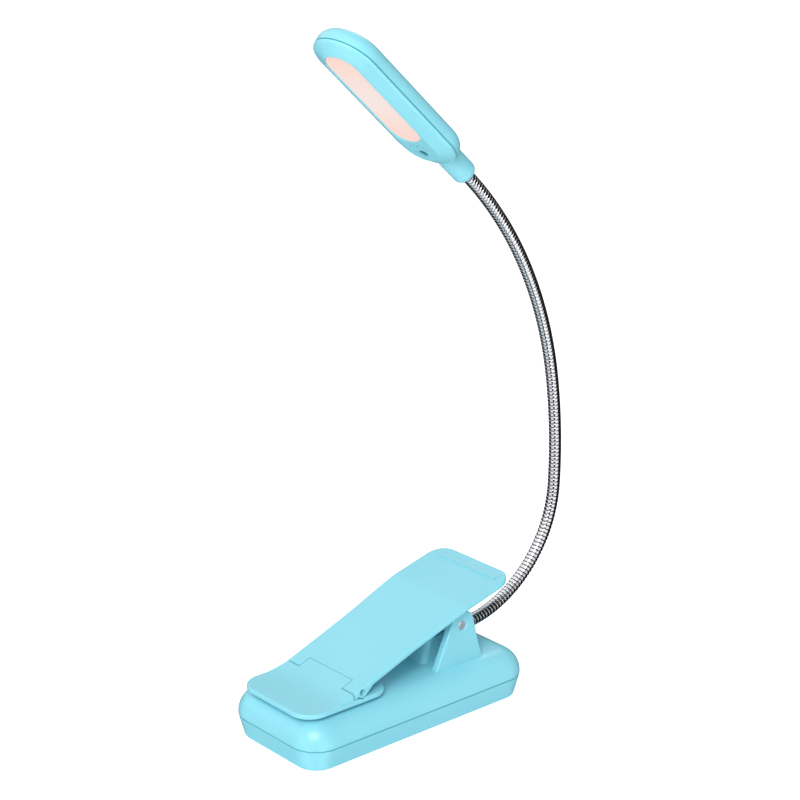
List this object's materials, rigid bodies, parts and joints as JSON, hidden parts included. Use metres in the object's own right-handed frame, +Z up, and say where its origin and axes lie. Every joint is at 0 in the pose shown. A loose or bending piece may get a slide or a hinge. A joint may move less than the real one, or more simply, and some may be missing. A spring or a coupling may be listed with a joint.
{
  "type": "clip on reading lamp",
  "caption": "Rechargeable clip-on reading lamp with a sprung jaw, a swivelling jaw pad, a bendable gooseneck and a slim light head with a frosted window.",
  "frame": {"origin": "centre of the base's flat resting face", "axes": "+X from the jaw to the gooseneck end, +Y across to the far side, +Z up"},
  "size_m": [0.1193, 0.0416, 0.2135],
  "materials": {
    "shell_plastic": "satin",
    "lever_plastic": "satin",
    "button_plastic": "satin",
    "grip_rubber": "matte",
    "foam_tape": "matte",
    "pin_steel": "polished",
    "spring_steel": "drawn wire",
    "screw_steel": "black zinc",
    "neck_chrome": "polished",
    "cell_foil": "satin",
    "circuit_board": "solder mask",
    "chip_black": "moulded",
    "port_steel": "plated",
    "wire_cover": "PVC",
    "light_board": "white mask",
    "led_phosphor": "lit",
    "reflector_white": "satin",
    "diffuser_frost": "frosted, lit",
    "indicator_clear": "unlit"
  },
  "bodies": {
    "base": {"base_bottom_shell": "shell_plastic", "base_top_shell": "shell_plastic", "base_screws": "screw_steel", "base_grip": "grip_rubber", "battery_pad": "foam_tape", "battery": "cell_foil", "control_board": "circuit_board", "board_components": "chip_black", "charging_port": "port_steel", "neck_wires": "wire_cover", "battery_leads": "wire_cover", "main_pin": "pin_steel", "torsion_spring_near": "spring_steel", "torsion_spring_far": "spring_steel", "neck_ferrule": "neck_chrome", "gooseneck_link_0": "neck_chrome"},
    "lever": {"lever": "lever_plastic", "jaw_pin": "pin_steel"},
    "jaw_pad": {"jaw_pad": "lever_plastic", "jaw_grip": "grip_rubber"},
    "neck_1": {"gooseneck_link_1": "neck_chrome"},
    "neck_2": {"gooseneck_link_2": "neck_chrome"},
    "neck_3": {"gooseneck_link_3": "neck_chrome"},
    "neck_4": {"gooseneck_link_4": "neck_chrome"},
    "neck_5": {"gooseneck_link_5": "neck_chrome"},
    "neck_6": {"gooseneck_link_6": "neck_chrome"},
    "neck_7": {"gooseneck_link_7": "neck_chrome"},
    "head": {"gooseneck_link_8": "neck_chrome", "neck_collar": "shell_plastic", "head_front_shell": "shell_plastic", "head_back_shell": "shell_plastic", "led_board": "light_board", "leds": "led_phosphor", "reflector": "reflector_white", "diffuser": "diffuser_frost", "button_switch": "chip_black", "indicator_lights": "indicator_clear"},
    "power_button": {"power_button": "button_plastic"}
  },
  "joints": [
    {"name": "lever_pivot", "type": "hinge", "parent": "base", "child": "lever", "pos_m": [0.021, 0, 0.0277], "axis": [0, 1, 0], "range_deg": [0, 34], "stiffness_Nm_per_rad": 0.3, "springref_deg": -51.57, "deforming": ["torsion_spring_near", "torsion_spring_far"]},
    {"name": "pad_swivel", "type": "hinge", "parent": "lever", "child": "jaw_pad", "pos_m": [-0.021, 0, 0.0192], "axis": [0, 1, 0], "range_deg": [-18, 2]},
    {"name": "neck_side_1", "type": "hinge", "parent": "base", "child": "neck_1", "pos_m": [0.04056, 0, 0.02058], "axis": [-0.1894, 0, 0.9819], "range_deg": [-20, 20]},
    {"name": "neck_bend_2", "type": "hinge", "parent": "neck_1", "child": "neck_2", "pos_m": [0.06055, 0, 0.03089], "axis": [0, 1, 0], "range_deg": [-20, 20]},
    {"name": "neck_side_3", "type": "hinge", "parent": "neck_2", "child": "neck_3", "pos_m": [0.07178, 0, 0.05038], "axis": [-0.972, 0, 0.2351], "range_deg": [-20, 20]},
    {"name": "neck_bend_4", "type": "hinge", "parent": "neck_3", "child": "neck_4", "pos_m": [0.07296, 0, 0.07309], "axis": [0, 1, 0], "range_deg": [-20, 20]},
    {"name": "neck_side_5", "type": "hinge", "parent": "neck_4", "child": "neck_5", "pos_m": [0.07068, 0, 0.09576], "axis": [-0.9858, 0, -0.1677], "range_deg": [-20, 20]},
    {"name": "neck_bend_6", "type": "hinge", "parent": "neck_5", "child": "neck_6", "pos_m": [0.0648, 0, 0.11776], "axis": [0, 1, 0], "range_deg": [-20, 20]},
    {"name": "neck_side_7", "type": "hinge", "parent": "neck_6", "child": "neck_7", "pos_m": [0.05497, 0, 0.1383], "axis": [-0.8582, 0, -0.5132], "range_deg": [-20, 20]},
    {"name": "neck_bend_8", "type": "hinge", "parent": "neck_7", "child": "head", "pos_m": [0.04153, 0, 0.15668], "axis": [0, 1, 0], "range_deg": [-20, 20]},
    {"name": "button_press", "type": "slide", "parent": "head", "child": "power_button", "axis": [0.6807, 0.1063, 0.7248], "range_m": [0, 0.0004], "stiffness_N_per_m": 400, "springref_m": -0.0006}
  ],
  "couplings": [
    {"joint": "pad_swivel", "follows": "lever_pivot", "ratio": -0.5}
  ]
}
